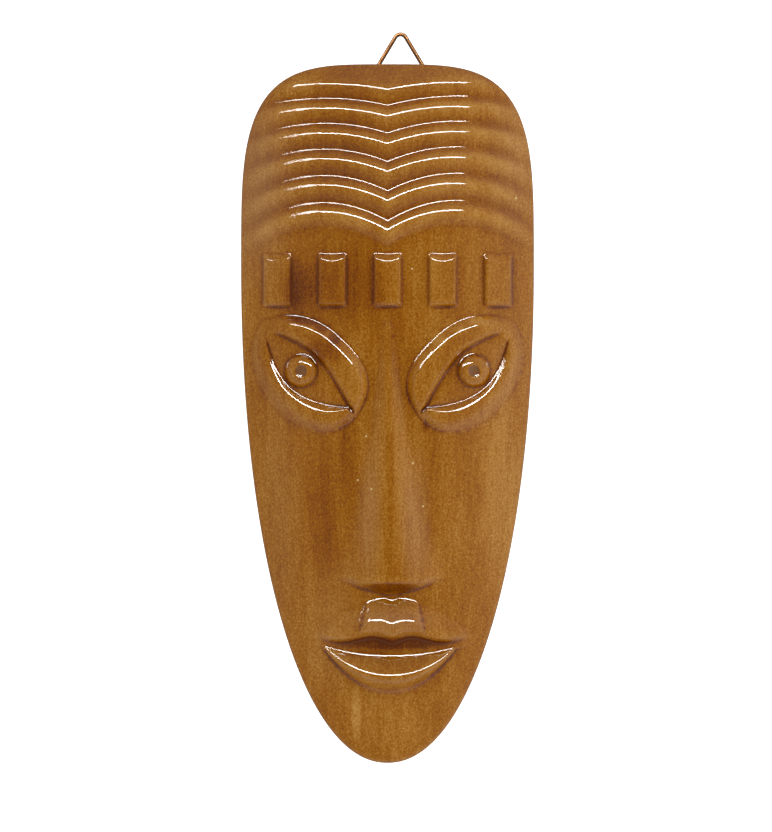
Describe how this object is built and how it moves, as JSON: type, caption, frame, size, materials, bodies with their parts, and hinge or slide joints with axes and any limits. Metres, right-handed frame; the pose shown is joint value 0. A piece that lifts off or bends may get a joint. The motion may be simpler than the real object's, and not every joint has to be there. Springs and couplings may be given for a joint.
{
  "type": "tribal wall mask",
  "caption": "Long carved and lacquered wooden mask with combed hair, slanted eyes and full lips, hollow at the back, with a bent wire loop to hang it by.",
  "frame": {"origin": "under the middle of the part's box, on the plane of the back rim that the mask lies on", "axes": "+X to the viewer's right across the face, +Y from the chin to the top of the head, +Z out of the face"},
  "size_m": [0.1258, 0.3136, 0.0344],
  "materials": {
    "lacquered_wood": "warm brown stained wood under clear high-gloss lacquer",
    "brass_wire": "dull copper-toned brass wire"
  },
  "bodies": {
    "root": {"mask": "lacquered_wood", "hanging_wire": "brass_wire"}
  },
  "joints": []
}
